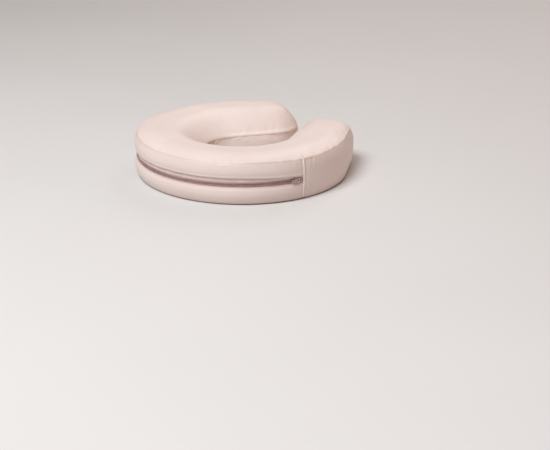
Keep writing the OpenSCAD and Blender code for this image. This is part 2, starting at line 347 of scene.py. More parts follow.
def stitches(name, path, ups, pitch, share, lift, sink, radius, finish, slot, flat=1.0):
    """Short threads along a path. Each takes up a share of its pitch, stands up by lift in its
    middle, and sinks in by sink at its ends."""
    ups = np.broadcast_to(ups, path.shape)
    gaps = np.linalg.norm(np.diff(path, axis=0), axis=1)
    s = np.concatenate([[0], np.cumsum(gaps)])
    count = int(s[-1] / pitch)
    t = np.linspace(-0.5, 0.5, 5)
    at = (np.arange(count)[:, None] + 0.5 + t * share) * s[-1] / count
    line = np.stack([np.interp(at, s, path[:, k]) for k in range(3)], -1)
    up = np.stack([np.interp(at, s, ups[:, k]) for k in range(3)], -1)
    rise = lift * (1 - (2 * t) ** 2) - sink * (2 * np.abs(t)) ** 3
    tubes(name, line + up * rise[:, None], up, radius, finish, "cushion", slot, flat=flat)


# -------- materials
def linear(r, g, b):
    return (*[(c / 255) ** 2.2 for c in (r, g, b)], 1)


class Finish:
    """A material that is built from nodes. A colour is red, green and blue from 0 to 255."""

    def __init__(self, name, roughness=0.5, **sockets):
        self.material = bpy.data.materials.new(name)
        self.material.use_nodes = True
        self.tree = self.material.node_tree
        self.shader = self.tree.nodes["Principled BSDF"]
        self.shader.inputs["Roughness"].default_value = roughness
        for socket, value in sockets.items():
            self.shader.inputs[socket.replace("_", " ")].default_value = value
        self.place = self.node("ShaderNodeTexCoord").outputs["Object"]
        self.height = None

    def node(self, kind, **settings):
        node = self.tree.nodes.new(kind)
        for key, value in settings.items():
            setattr(node, key, value)
        return node

    def put(self, value, socket):
        if isinstance(value, bpy.types.NodeSocket):
            self.tree.links.new(value, socket)
        else:
            socket.default_value = linear(*value) if isinstance(value, tuple) else value

    def math(self, operation, a, b=0.0):
        node = self.node("ShaderNodeMath", operation=operation)
        for value, socket in zip((a, b), node.inputs):
            self.put(value, socket)
        return node.outputs[0]

    def noise(self, scale, detail=2.0, rough=0.5, where=None):
        node = self.node("ShaderNodeTexNoise")
        self.put(where or self.place, node.inputs["Vector"])
        node.inputs["Scale"].default_value = scale
        node.inputs["Detail"].default_value = detail
        node.inputs["Roughness"].default_value = rough
        return node.outputs["Fac"]

    def cells(self, scale, feature="F1"):
        node = self.node("ShaderNodeTexVoronoi", feature=feature)
        self.put(self.place, node.inputs["Vector"])
        node.inputs["Scale"].default_value = scale
        return node.outputs["Distance"]

    def mark(self, name, output="Fac"):
        return self.node("ShaderNodeAttribute", attribute_name=name).outputs[output]

    def span(self, value, low, high, to_low=0.0, to_high=1.0):
        node = self.node("ShaderNodeMapRange")
        for number, socket in zip((value, low, high, to_low, to_high), node.inputs):
            self.put(number, socket)
        return node.outputs[0]

    def mix(self, factor, a, b):
        node = self.node("ShaderNodeMix", data_type="RGBA")
        for value, place in ((factor, 0), (a, 6), (b, 7)):
            self.put(value, node.inputs[place])
        return node.outputs[2]

    def colour(self, value):
        self.put(value, self.shader.inputs["Base Color"])

    def rough(self, value, low, high):
        """Sets the roughness from low to high where value goes from 0.3 to 0.7."""
        self.put(self.span(value, 0.3, 0.7, low, high), self.shader.inputs["Roughness"])

    def bump(self, height, distance, strength=1.0):
        """Adds a bump on top of the ones before it."""
        node = self.node("ShaderNodeBump")
        node.inputs["Distance"].default_value = distance
        node.inputs["Strength"].default_value = strength
        self.put(height, node.inputs["Height"])
        if self.height:
            self.put(self.height, node.inputs["Normal"])
        self.height = node.outputs["Normal"]
        self.put(self.height, self.shader.inputs["Normal"])


def leather(name, light, dark, crease_shade):
    """Satin coated leather: fine pebbled grain and faint creases, with painted shade in its seams,
    creases and puckers, and a painted highlight along the tips' seam lip.
    """
    f = Finish(name, IOR=1.48, Coat_Weight=0.06, Coat_Roughness=0.45, Sheen_Weight=0.05)
    tone = f.span(f.noise(9, 4, 0.6), 0.35, 0.68)
    base = f.mix(tone, light, dark)
    # random dark specks of the grain, in the same dark colour that paints the crease shade
    speck = f.span(f.noise(900, 3, 0.7), 0.3, 0.7, 0.0, 0.10)
    base = f.mix(speck, base, crease_shade)
    # painted shade: darker in the seams, creases and the valleys of puckers and gathers, where the
    # crease mark says
    base = f.mix(f.math("MULTIPLY", f.mark("crease_shade"), 0.55), base, crease_shade)
    # painted highlight: paler where the pale mark says, along the seam lip round the tips
    base = f.mix(f.mark("pale"), base, (250, 239, 233))
    f.colour(base)
    f.rough(f.noise(240, 4, 0.6), 0.42, 0.56)
    f.bump(f.noise(38, 3), 0.6 * MM, 0.10)
    f.bump(f.cells(1150, "SMOOTH_F1"), 0.16 * MM, 0.35)
    f.bump(f.noise(3200, 2, 0.6), 0.05 * MM, 0.35)
    return f.material


def thread(name, colour, shade):
    """Twisted thread, uneven in tone and in its surface."""
    f = Finish(name, 0.55, Sheen_Weight=0.2)
    f.colour(f.mix(f.noise(2600), colour, shade))
    f.bump(f.noise(3800, 1), 0.08 * MM, 0.5)
    return f.material


def woven(name, light, dark, pitch_along, pitch_up, slant=0.0):
    """Woven cloth. Its threads follow the flow mark: metres along and metres up the cloth."""
    f = Finish(name, 0.86, Sheen_Weight=0.25, Sheen_Roughness=0.4)
    flow = f.node("ShaderNodeSeparateXYZ")
    f.put(f.mark("flow", "Vector"), flow.inputs[0])
    u, v = flow.outputs[0], flow.outputs[1]
    u = f.math("ADD", u, f.math("MULTIPLY", v, slant))
    warp = f.math("SINE", f.math("MULTIPLY", u, 2 * math.pi / pitch_along))
    weft = f.math("SINE", f.math("MULTIPLY", v, 2 * math.pi / pitch_up))
    over = f.math("MULTIPLY", warp, weft)
    height = f.math("ADD", f.math("ABSOLUTE", warp), f.math("MULTIPLY", over, 0.5))
    cloth = f.mix(f.span(height, 0.0, 1.4), dark, light)
    worn = f.span(f.noise(60, 4, 0.6), 0.35, 0.7)
    cloth = f.mix(f.math("MULTIPLY", worn, 0.25), cloth, dark)
    f.colour(cloth)
    f.rough(f.noise(1500), 0.78, 0.95)
    f.bump(f.noise(1700, 3, 0.6), 0.15 * MM, 0.25)
    f.bump(height, 0.12 * MM, 0.7)
    return f.material


def nylon(name, light, dark):
    """Satin nylon wire, slightly milky and uneven in tone."""
    f = Finish(name, 0.34, IOR=1.53, Coat_Weight=0.1)
    f.colour(f.mix(f.span(f.noise(420, 3), 0.35, 0.65), light, dark))
    f.rough(f.noise(1400), 0.28, 0.42)
    f.bump(f.noise(2600), 0.03 * MM, 0.4)
    return f.material


def metal(name, light, dark):
    """Plated die-cast zinc with light wear: fine scratches and duller patches."""
    f = Finish(name, 0.32, Metallic=1.0)
    stretched = f.node("ShaderNodeMapping")
    f.put(f.place, stretched.inputs["Vector"])
    stretched.inputs["Scale"].default_value = (1, 1, 14)
    scratch = f.noise(900, 3, 0.6, stretched.outputs["Vector"])
    worn = f.span(f.noise(300, 5, 0.65), 0.42, 0.66)
    f.colour(f.mix(worn, light, dark))
    dull = f.math("ADD", scratch, f.math("MULTIPLY", worn, 0.4))
    f.put(f.span(dull, 0.4, 1.0, 0.22, 0.5), f.shader.inputs["Roughness"])
    f.bump(scratch, 0.02 * MM, 0.5)
    return f.material


def foam(name, light, dark, cell):
    """Cut open-cell foam: fine pores and a slightly sanded face."""
    f = Finish(name, 0.92, Sheen_Weight=0.1)
    pores = f.cells(cell)
    f.colour(f.mix(f.span(pores, 0.0, 0.7), dark, light))
    f.rough(f.noise(300), 0.86, 0.98)
    f.bump(pores, 0.6 * MM, 0.6)
    f.bump(f.noise(120, 4, 0.6), 0.8 * MM, 0.3)
    return f.material


def pile(name, light, dark):
    """Loop pile of a touch-close tape: a matt felt of tiny loops."""
    f = Finish(name, 0.95, Sheen_Weight=0.5, Sheen_Roughness=0.5)
    loops = f.cells(1600)
    fuzz = f.noise(800, 4, 0.7)
    f.colour(f.mix(f.math("MULTIPLY", f.span(loops, 0.0, 0.6, 1.0, 0.0), fuzz), dark, light))
    f.rough(fuzz, 0.88, 1.0)
    f.bump(fuzz, 0.5 * MM, 0.6)
    f.bump(loops, 0.4 * MM, 0.8)
    return f.material


# The last colour of each leather is the dark tone of its painted crease shade; the grain's specks
# use it too.
LEATHER = leather("leather_cream", (231, 215, 209), (224, 206, 199), (178, 146, 130))
# The welt's leather is painted lighter than the cover's: a painted highlight on its proud roll,
# which catches the light.
LEATHER_WELT_LIT = leather("leather_cream_welt_lit", (240, 221, 211), (232, 212, 202), (190, 160, 146))
# The inner band's leather is painted darker and warmer than the cover's: painted shade and warm
# bounce light inside the hole.
LEATHER_INNER_SHADED = leather("leather_cream_inner_shaded", (226, 204, 191), (217, 191, 176), (168, 134, 114))
THREAD = thread("thread_cream", (238, 220, 210), (205, 180, 166))
TAPE_WEAVE = (0.9 * MM, 0.7 * MM, 0.5)
TAPE = woven("zip_tape_weave", (246, 224, 220), (228, 202, 198), *TAPE_WEAVE)
TAPE_SHADED = woven("zip_tape_weave_shaded", (222, 194, 190), (194, 165, 161), *TAPE_WEAVE)
TAPE_THREAD = thread("thread_mauve", (204, 176, 172), (150, 120, 118))
COIL = nylon("nylon_coil", (186, 155, 151), (150, 119, 116))
ZIP_METAL = metal("plated_zinc", (212, 190, 184), (160, 139, 134))
BASE_CLOTH = woven("base_lining", (196, 172, 156), (158, 132, 117), 0.8 * MM, 0.8 * MM)
FIRM_FOAM = foam("foam_firm_cut", (240, 226, 168), (206, 186, 122), 900)
SOFT_FOAM = foam("foam_soft_cut", (243, 238, 220), (214, 205, 182), 1300)
LOOP_PILE = pile("loop_pile", (74, 66, 62), (34, 30, 28))
LOOP_THREAD = thread("thread_dark", (58, 51, 48), (30, 26, 25))


# -------- the swelling of the cover
SIM_WALL = np.array([0, 0.05, 0.11, 0.18, 0.26, 0.33, GAP_LOW / SEAM_H, 0.5, GAP_HIGH / SEAM_H,
                     0.70, 0.77, 0.84, 0.90, 0.95, 1.0])
SIM_TOP = np.array([2.5, 5, 8.5, 12.5, 17, 22, 27.5, 33, 38.5, 44.5]) * MM
SIM_BASE = np.array([44.5, 33, 22, 12]) * MM
HEM_ROWS = (6, 8)  # the rows of SIM_WALL where the hems beside the zip hold the cloth
SWELL_START = 2.2 * MM  # how much smaller the cloth starts
SWELL_LIMIT = 1.3 * MM  # how far it may end from the foam's own shape


def swell():
    """Blows the cover up as cloth held along its seams, and gives how far each point of the
    wall and of the top then stands from the foam's shape."""
    wall_z = FOOT_Z + SIM_WALL[:, None] * (coarse.edge_h - FOOT_Z)
    walls = coarse.at(foot(coarse, wall_z), wall_z)
    tops = coarse.at(top_in(coarse, SIM_TOP[:, None]), top_z(coarse, SIM_TOP[:, None]))
    bases = coarse.at(SIM_BASE[:, None], BASE_Z)
    grid = np.concatenate([bases, walls, tops])
    rows, columns = grid.shape[:2]
    first_wall, first_top = len(bases), len(bases) + len(walls)
    out = normals_of(grid, True)
    room = np.zeros(grid.shape[:2])
    room[first_wall:first_top] = np.sin(math.pi * SIM_WALL[:, None]) ** 0.5
    room[first_top:] = smooth(SIM_TOP / (20 * MM))[:, None]
    pinned = np.zeros((rows, columns), bool)
    pinned[: first_wall + 1] = True
    pinned[first_top - 1] = True
    for row in HEM_ROWS:
        pinned[first_wall + row, coarse.folded <= SEAM_PLACE] = True
    for place in (SEAM_PLACE, INNER_PLACE):
        near = np.abs(coarse.folded - place) < 0.2
        pinned[first_wall:first_top, near] = True
    room[pinned] = 0
    start = grid - out * (SWELL_START * room)[..., None]
    faces = rows_to_faces(rows, columns, True)
    faces += middle_faces(coarse, 0, True) + middle_faces(coarse, (rows - 1) * columns)
    cloth = add_mesh("swelling", start.reshape(-1, 3), faces, LEATHER, None, None)
    held = cloth.vertex_groups.new(name="held")
    held.add(np.flatnonzero(pinned).tolist(), 1.0, "REPLACE")
    modifier = cloth.modifiers.new("Cloth", "CLOTH")
    settings = modifier.settings
    settings.quality = 6
    settings.mass = 0.25
    settings.tension_stiffness = settings.compression_stiffness = 18
    settings.shear_stiffness = 6
    settings.bending_stiffness = 1.2
    settings.use_pressure = True
    settings.uniform_pressure_force = 4
    settings.shrink_min = -0.005
    settings.vertex_group_mass = "held"
    settings.effector_weights.gravity = 0
    for step in range(1, 21):
        bpy.context.scene.frame_set(step)
    evaluated = cloth.evaluated_get(bpy.context.evaluated_depsgraph_get())
    blown = np.zeros(rows * columns * 3)
    evaluated.data.vertices.foreach_get("co", blown)
    bpy.context.scene.frame_set(1)
    bpy.data.objects.remove(cloth)
    moved = blown.reshape(rows, columns, 3) - grid
    size = np.linalg.norm(moved, axis=2, keepdims=True)
    moved *= np.tanh(size / SWELL_LIMIT) * SWELL_LIMIT / np.maximum(size, 1e-9)
    moved[pinned] = 0
    return moved[first_wall:first_top], moved[first_top - 1:]


wall_moved, top_moved = swell()


def spread(moved, places, line, wanted):
    """Reads the swelling between its rows and columns. wanted has a value for each row, or
    for each row and column."""
    around = np.concatenate([coarse.place, [LAST_PLACE]])
    ring = np.concatenate([moved, moved[:, :1]], 1)
    at, t = step_of(around, line.place)
    columns = ring[:, at] * (1 - t[:, None]) + ring[:, at + 1] * t[:, None]
    row, t = step_of(places, np.broadcast_to(wanted, (len(wanted), line.count)))
    which, t = np.arange(line.count), t[..., None]
    return columns[row, which] * (1 - t) + columns[row + 1, which] * t


# -------- the cover's panels
SEAM_DEEP = 0.9 * MM  # how far a panel dips to its seam
PUCKER, PUCKER_PITCH, PUCKER_REACH = 0.55 * MM, 6.2 * MM, 6 * MM
FIRST_ROW, WIDEST_ROW, ROW_GROWTH = 0.25 * MM, 2.6 * MM, 1.35


def row_places(length):
    """Shares of a length, from 0 to 1, close together at both ends."""
    steps, step, reached = [0.0], FIRST_ROW, FIRST_ROW
    while reached < length / 2:
        steps.append(reached)
        step = min(step * ROW_GROWTH, WIDEST_ROW)
        reached += step
    steps = np.array(steps)
    return np.concatenate([steps, [length / 2], (length - steps)[::-1]]) / length


def seam_shape(near):
    """How a panel dips to a seam that far away, with a soft ridge beside it."""
    ridge = 0.16 * MM * np.exp(-((near - 2.4 * MM) / (1.4 * MM)) ** 2)
    return SEAM_DEEP * np.exp(-near / (0.9 * MM)) - ridge


def pucker(line, near, seed):
    """Small gathers that run off a seam: how far the panel moves in at that distance."""
    strength = seam_pull(line) * np.exp(-near / (PUCKER_REACH * (0.7 + seam_pull(line))))
    wide = ripple(line.s, line.total, PUCKER_PITCH, seed)
    return PUCKER * strength * wide * (1 - 0.6 * np.exp(-near / (0.6 * MM)))


def from_seam(line):
    """How far along the edge the nearer upright seam is."""
    return np.abs(line.folded - SEAM_PLACE) * PLACE_LENGTH


def upright_pull(line, near_seam):
    """The creases that fan out from the upright seams, below and above the top seam."""
    away = from_seam(line)
    fan = ripple(line.s + 0.35 * near_seam, line.total, 9 * MM, 23)
    return 0.45 * MM * fan * np.exp(-away / (9 * MM)) * np.exp(-near_seam / (11 * MM))


def welt_pull(line, z):
    """How far the wall dips to the upright seams, with small gathers that run off them."""
    away = np.maximum(from_seam(line) - 1.2 * MM, 0)
    behind = 1 + 0.8 * (line.folded > SEAM_PLACE)
    gather = 0.2 * MM * behind * ripple(z + 0.15 * line.s, 0.2, 6.5 * MM, 27)
    gather = gather * np.exp(-away / (5 * MM)) * smooth(z / (25 * MM))
    return 0.75 * MM * np.exp(-away / (1.3 * MM)) + gather


def wall_points(line, z, bulge):
    """Points of the wall at heights z, with foot, seam, gathers and swelling, and how far
    below the top seam they lie. The swelling is weaker beside the zip."""
    below = np.maximum(line.edge_h - z, 0)
    d = foot(line, z) + seam_shape(below) - bulge
    d = d + pucker(line, below, 11) + upright_pull(line, below) + welt_pull(line, z)
    t = np.clip((z - FOOT_Z) / (line.edge_h - FOOT_Z), 0, 1)
    held = 1 - 0.6 * smooth((SEAM_PLACE + 2 - line.folded) / 4)
    return line.at(d, z) + held[:, None] * spread(wall_moved, SIM_WALL, line, t), below


def wall_marks(line, below, z):
    """Painted shade: how much darker the leather is painted in its creases and seams and in the
    valleys of its puckers.
    """
    painted_shade = np.exp(-below / (1.1 * MM)) + 0.8 * np.exp(-(z - FOOT_Z) / (2.5 * MM))
    gather = np.clip(pucker(line, below, 11) / PUCKER, 0, 1)
    return {"crease_shade": np.clip(painted_shade + 0.7 * gather, 0, 1)}


def meet_in_middle(moved, d):
    """Makes the swelling of the top's outer half and hole half agree where they meet, and
    evens it out along the middle of each tip."""
    last = moved[-1]
    on_right = fine.place <= HOLE_PLACE
    across = HOLE_PLACE + np.where(on_right, -1, 1) * fine.folded
    opposite = np.stack([np.interp(across, fine.place, last[:, k]) for k in range(3)], -1)
    met = (last + opposite) / 2
    in_tip = smooth((np.minimum(fine.folded, HOLE_PLACE - fine.folded) - 21) / 8)
    for side in (on_right, ~on_right):
        even = met[side & (in_tip == 1)].mean(0)
        met[side] += in_tip[side, None] * (even - met[side])
    share = smooth((d - 20 * MM) / (MID_IN - 20 * MM))[..., None]
    return moved + share * (met - last)


def build_top():
    """The top panel, out of rows from its seam to the middle of the ring. Gives its points and
    the way out at each."""
    d = np.array([0.25, 0.5, 0.85, 1.3, 1.9, 2.6, 3.4, 4.4, 5.6, 7, 8.6, 10.5, 12.8, 15.5, 18.5,
                  22, 26, 30, 34, 38, 41.5, MID_IN / MM])[:, None] * MM
    dip = seam_shape(d) + pucker(fine, d, 12) + 0.8 * upright_pull(fine, d)
    z = top_z(fine, d)
    grid = fine.at(top_in(fine, d), z - dip)
    grid += meet_in_middle(spread(top_moved, np.concatenate([[0], SIM_TOP]), fine, d), d)
    # painted shade: darker at the top seam and in the puckers' valleys
    painted_shade = np.exp(-d / (1.1 * MM)) + 0.6 * np.clip(pucker(fine, d, 12) / PUCKER, 0, 1)
    # painted highlight: paler along the seam lip round the tips, where it stands up and catches the
    # light
    at_tip = smooth((fine.folded - 28) / 6) * smooth((INNER_PLACE - fine.folded) / 6)
    lip = 0.6 * at_tip * np.exp(-((d - 2 * MM) / (1 * MM)) ** 2)
    panel = shell("cover_top", grid, LEATHER, "cover_leather", COVER_T, True, fine,
                  {"crease_shade": np.clip(painted_shade, 0, 1), "pale": lip})
    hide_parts("cover_top_panel")
    return grid, normals_of(grid, True)


def cover_panel(node, grid, finish, marks):
    panel = shell(node + "_cover", grid, finish, "cover_leather", COVER_T, marks=marks)
    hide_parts(node)


TOP_GAP = 0.25 * MM  # between a wall's upper edge and the top seam


def build_walls():
    """The tips' bands and the inner band, from the base seam up to the top seam."""
    left_inner, left_seam = LAST_PLACE - INNER_PLACE, LAST_PLACE - SEAM_PLACE
    for node, low, high in (("tip_band_right", SEAM_PLACE, INNER_PLACE),
                            ("tip_band_left", left_inner, left_seam),
                            ("inner_band", INNER_PLACE, left_inner)):
        line = fine.cut(low, high)
        t = row_places(SEAM_H - FOOT_Z)[:, None]
        z = FOOT_Z + t * (line.edge_h - TOP_GAP - FOOT_Z)
        grid, below = wall_points(line, z, 0.7 * MM * np.sin(math.pi * t))
        marks = wall_marks(line, below, z)
        finish = LEATHER
        # painted shade: the inner band gets the darker, warmer leather
        if node == "inner_band":
            finish = LEATHER_INNER_SHADED
            gathers = ripple(line.s, line.total, 4.2 * MM, 31)
            depth = 1.1 * MM * np.exp(-below / (16 * MM)) * (1 - np.exp(-below / (1 * MM)))
            grid[..., :2] -= line.n * (gathers * depth)[..., None]
            # painted shade in the valleys of the gathers
            valley_shade = 1.2 * np.maximum(gathers * depth / MM, 0)
            marks["crease_shade"] = np.clip(marks["crease_shade"] + valley_shade, 0, 1)
        cover_panel(node, grid, finish, marks)


def hem(edge, up):
    """The folded hem beside the zip: how far in and how high each of its rows lies, from the
    wall round the fold to behind it. up is 1 where the fold is on the hem's upper side."""
    r = FOLD_IN / 2
    turn = np.linspace(0, math.pi, 9)
    around = r - r * np.cos(turn)
    over = edge + up * (r * np.sin(turn) - r)
    behind = edge - up * np.linspace(r + 1 * MM, 5.4 * MM, 4)
    return np.concatenate([around, np.full(4, FOLD_IN)]), np.concatenate([over, behind])


def build_bands():
    """The two front bands, with their hems folded back along the zip. The gap between the
    hems narrows towards its ends."""
    line = fine.cut(LAST_PLACE - SEAM_PLACE, SEAM_PLACE)
    for node, up in (("outer_band_lower", 1), ("outer_band_upper", -1)):
        edge = GAP_LOW if up > 0 else GAP_HIGH
        seam = FOOT_Z if up > 0 else line.edge_h - TOP_GAP
        wavy = 0.25 * MM * ripple(line.s, line.total, 34 * MM, 41 + up)
        if up < 0:
            wavy = wavy - GAP_NARROWS * smooth((line.folded - 12) / 8)
        hem_d, hem_z = hem(edge, up)
        t = row_places(abs(edge - np.mean(seam)))[:-1, None]
        z = seam + t * (hem_z[0] + wavy - seam)
        loose = 1 - np.exp(-from_seam(line) / (16 * MM))
        swell_out = 0.8 * MM * np.sin(math.pi * t)
        if up < 0:
            swell_out = swell_out + FLARE * loose * smooth(t * 1.1)
        else:
            swell_out = swell_out + 0.6 * MM * loose * smooth(t / 0.7)
            swell_out -= 1.1 * MM * smooth((t - 0.82) / 0.18) ** 2
        wall, _ = wall_points(line, z, swell_out)
        hem_in = hem_d[:, None] - 0.3 * MM * (1 - hem_d[:, None] / FOLD_IN)
        behind = line.at(hem_in, hem_z[:, None] + wavy)
        behind += wall[-1:] - line.at(np.full((1, 1), hem_in[0, 0]), z[-1:])
        grid = np.concatenate([wall, behind[1:]])
        z = np.concatenate([z, np.broadcast_to(hem_z[1:, None], (len(hem_z) - 1, line.count))])
        marks = wall_marks(line, np.maximum(line.edge_h - z, 0), z)
        # painted shade along the lower hem's fold, beside the zip gap
        if up > 0:
            fold_shade = np.exp(-((z - edge - wavy + 0.3 * MM) / (1.4 * MM)) ** 2)
            marks["crease_shade"] = np.clip(marks["crease_shade"] + 0.45 * fold_shade, 0, 1)
        if up < 0:
            grid, marks = grid[::-1], {"crease_shade": marks["crease_shade"][::-1]}
        cover_panel(node, grid, LEATHER, marks)


def build_base():
    """The lining under the pad, sewn to the walls along their foot, and its hem stitches."""
    d = np.array([0, 1, 2.2, 3.6, 6, 10, 16, 23, 31, 38, 39.5]) * MM + FOOT_IN
    d = np.minimum(d, MID_IN)[:, None]
    lift = 0.5 * MM * np.exp(-(d - FOOT_IN) / (1.2 * MM))
    slack = 0.22 * MM * (1 + ripple(fine.s, fine.total, 16 * MM, 51))
    slack = slack * np.exp(-(d - FOOT_IN) / (7 * MM))
    grid = fine.at(d, BASE_Z + lift + slack)
    flow = np.concatenate([grid[..., :2], np.zeros((*grid.shape[:2], 1))], -1)
    panel = shell("cover_base", grid, BASE_CLOTH, "base_cloth", 0.7 * MM, True, fine,
                  {"flow": flow}, True)
    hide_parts("cover_base_panel")
    path = closed(fine.at(FOOT_IN + 3 * MM, BASE_Z - 0.02 * MM))
    stitches("base_hem_stitches", path, DOWNWARD, 4 * MM, 0.7, 0.12 * MM, 0.35 * MM, 0.22 * MM,
             THREAD, "base_cloth")


# -------- seams
STITCHED_ROW = 8  # the row of the top panel that its stitches follow


def build_seams(top_grid, top_out):
    """Stitches beside the top seam and in it, and the rolled strips in the upright seams."""
    path, out = closed(top_grid[STITCHED_ROW]), closed(top_out[STITCHED_ROW])
    stitches("top_stitches", path, out, 3.4 * MM, 0.72, 0.1 * MM, 0.4 * MM, 0.17 * MM, THREAD,
             "cover_leather", 0.7)
    seam = fine.at(top_in(fine, 0) + 0.35 * MM, fine.edge_h - 0.75 * MM)
    up = np.concatenate([fine.n * 0.7, np.full((fine.count, 1), 0.7)], 1)
    stitches("seam_stitches", closed(seam), closed(up), 3.2 * MM, 0.8, 0.15 * MM, 0.3 * MM,
             0.2 * MM, THREAD, "cover_leather")
    at_seam = Part(fine, [np.argmin(np.abs(fine.place - SEAM_PLACE))])
    t = np.linspace(0, 1, 110)
    for side, node in ((1, "seam_welt_right"), (-1, "seam_welt_left")):
        z = FOOT_Z + 1.4 * MM + t * (at_seam.edge_h[0] - FOOT_Z - 1.8 * MM)
        way = direction(side * SEAM_ANGLE - 90)
        knots = 0.12 * MM * ripple(z, 0.2, 5.2 * MM, 61 + side)
        stand = OUTER_R - foot(at_seam, z) - 0.7 * MM + knots
        bend = 0.3 * MM * ripple(z, 0.2, 17 * MM, 71 + side)
        sideways = np.array([-way[1], way[0]])
        flat = O + stand[:, None] * way + bend[:, None] * sideways
        line = np.concatenate([flat, z[:, None]], 1)[None]
        thick = 1.3 * MM + 0.1 * MM * ripple(z, 0.2, 6 * MM, 81 + side)
        thick = thick * (0.7 + 0.3 * smooth(t / 0.02) * smooth((1 - t) / 0.02))
        # the lighter welt leather paints a highlight on the roll
        welt = tubes(node + "_roll", line, [*way, 0], thick[None], LEATHER_WELT_LIT, "cushion",
                     "seam_welt", sides=14)
        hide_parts(node)


# -------- the zip
def round_wall(angles, r, z):
    """Points at angles from the front, at radius r from the outer wall's centre."""
    angles, r, z = np.broadcast_arrays(angles, r, z)
    flat = O + r[..., None] * direction(angles - 90)
    return np.concatenate([flat, z[..., None]], -1)


def outward(angles):
    """The way out of the outer wall at those angles."""
    return round_wall(angles, 1.0, 0.0) - [*O, 0]


def tape_r(away):
    """The tape's radius at that height away from the coils: it comes out towards the hems."""
    return OUTER_R - TAPE_IN + 0.6 * MM * smooth((away - 2 * MM) / (3 * MM))


def build_tapes():
    """The woven tapes behind the gap, with the rows of stitches that show in it."""
    angles = np.linspace(-ZIP_ANGLE, ZIP_ANGLE, 321)
    along = np.radians(angles) * OUTER_R
    for node, finish, low, high, up, rows in (
            ("zip_tape_upper", TAPE, 28.9, 42.4, 1, (3.1, 6.2)),
            ("zip_tape_lower", TAPE_SHADED, 16.4, 28.0, -1, (3.1,))):
        z = np.linspace(low, high, 19)[:, None] * MM
        away = np.abs(z - ZIP_H)
        waves = 0.12 * MM * ripple(along + 0.2, 0.5, 26 * MM, 90 + up)
        r = tape_r(away) + waves * smooth(away / (4 * MM))
        grid = round_wall(angles[None], r, z)
        flow = np.stack(np.broadcast_arrays(along[None], z, 0.0), -1)
        tape = shell(node + "_cloth", grid, finish, "zip_tape", 0.6 * MM, marks={"flow": flow})
        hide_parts(node)
        for row, height in enumerate(rows):
            height *= MM
            path = round_wall(angles, tape_r(height) + 0.02 * MM, ZIP_H + up * height)
            stitches(f"{node}_stitches_{row}", path, outward(angles), 2.1 * MM, 0.75, 0.15 * MM,
                     0.25 * MM, 0.16 * MM, TAPE_THREAD, "zip_tape")


COIL_PITCH = 1.45 * MM
COIL_R = OUTER_R - TAPE_IN + 0.4 * MM


def build_coils():
    """Each coil is one wire wound along its tape, with its loops between the other's."""
    turns = int(math.radians(2 * COIL_ANGLE) * OUTER_R / COIL_PITCH)
    for node, up in (("zip_coil_upper", 1), ("zip_coil_lower", -1)):
        turn = np.linspace(0, turns, turns * 9 + 1) + (0.25 if up > 0 else -0.25)
        angles = -COIL_ANGLE + 0.3 + turn * (2 * COIL_ANGLE - 0.6) / turns
        phase = 2 * math.pi * turn
        z = ZIP_H + up * (0.95 * MM + 1.45 * MM * np.cos(phase))
        r = COIL_R + 0.30 * MM * np.sin(phase)
        line = round_wall(angles, r, z)[None]
        out = outward(angles)[None]
        coil = tubes(node + "_wire", line, out, 0.27 * MM, COIL, "cushion", "zip_coil")
        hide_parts(node)
    angles = np.linspace(-COIL_ANGLE + 0.6, COIL_ANGLE - 0.6, 400)
    out = outward(angles)
    for row, up in (("upper", 1), ("lower", -1)):
        path = round_wall(angles, COIL_R + 0.5 * MM, ZIP_H + up * 1.75 * MM)
        stitches(f"coil_stitches_{row}", path, out, COIL_PITCH * 2, 0.8, 0.1 * MM, 0.3 * MM,
                 0.13 * MM, TAPE_THREAD, "zip_coil")


def join(parts):
    points, faces, start = [], [], 0
    for p, f in parts:
        points.append(p)
        faces += [[v + start for v in face] for face in f]
        start += len(p)
    return np.concatenate(points), faces


class Spot:
    """Axes on the outer wall at an angle from the front: along the zip towards the right, out
    and up, with their origin at a radius."""

    def __init__(self, angle, r, turn=0.0):
        self.at = round_wall(angle, r, ZIP_H)
        out = direction(angle - 90 + turn)
        self.out = np.array([*out, 0.0])
        self.along = np.array([-out[1], out[0], 0.0])
        self.up = np.array([0.0, 0.0, 1.0])

    def place(self, along, out, up):
        along, out, up = np.broadcast_arrays(along, out, up)
        return (self.at + along[..., None] * self.along + out[..., None] * self.out
                + up[..., None] * self.up)

    def plate(self, edge, out, thick, bevel, hole=None):
        """Points and faces of a flat plate with rounded edges, from out outwards. edge and
        hole are outlines, along and up, with as many points."""
        middle = (edge if hole is None else hole).mean(0)

        def row(loop, shrink, rise):
            away = loop - middle
            loop = loop - shrink * away / np.linalg.norm(away, axis=1, keepdims=True)
            return self.place(loop[:, 0], out + rise, loop[:, 1])

        steps = [(bevel, 0), (0.3 * bevel, 0.3 * bevel), (0, bevel), (0, thick - bevel),
                 (0.3 * bevel, thick - 0.3 * bevel), (bevel, thick)]
        rows = [row(edge, by, rise) for by, rise in steps]
        if hole is not None:
            rows += [row(hole, -by, rise) for by, rise in steps[::-1]]
        count = len(edge)
        faces = rows_to_faces(len(rows), count, True)
        last = (len(rows) - 1) * count
        if hole is None:
            faces += [list(range(count))[::-1], [last + i for i in range(count)]]
        else:
            faces += [[last + i, last + (i + 1) % count, (i + 1) % count, i] for i in range(count)]
        return np.concatenate(rows), faces


def rounded(half_long, half_wide, corner, count=6):
    """A rectangle with round corners, as points about its middle."""
    points = []
    for sx, sy, start in ((1, 1, 0), (-1, 1, 90), (-1, -1, 180), (1, -1, 270)):
        turn = direction(np.linspace(start, start + 90, count))
        points.append([sx * (half_long - corner), sy * (half_wide - corner)] + corner * turn)
    return np.concatenate(points)


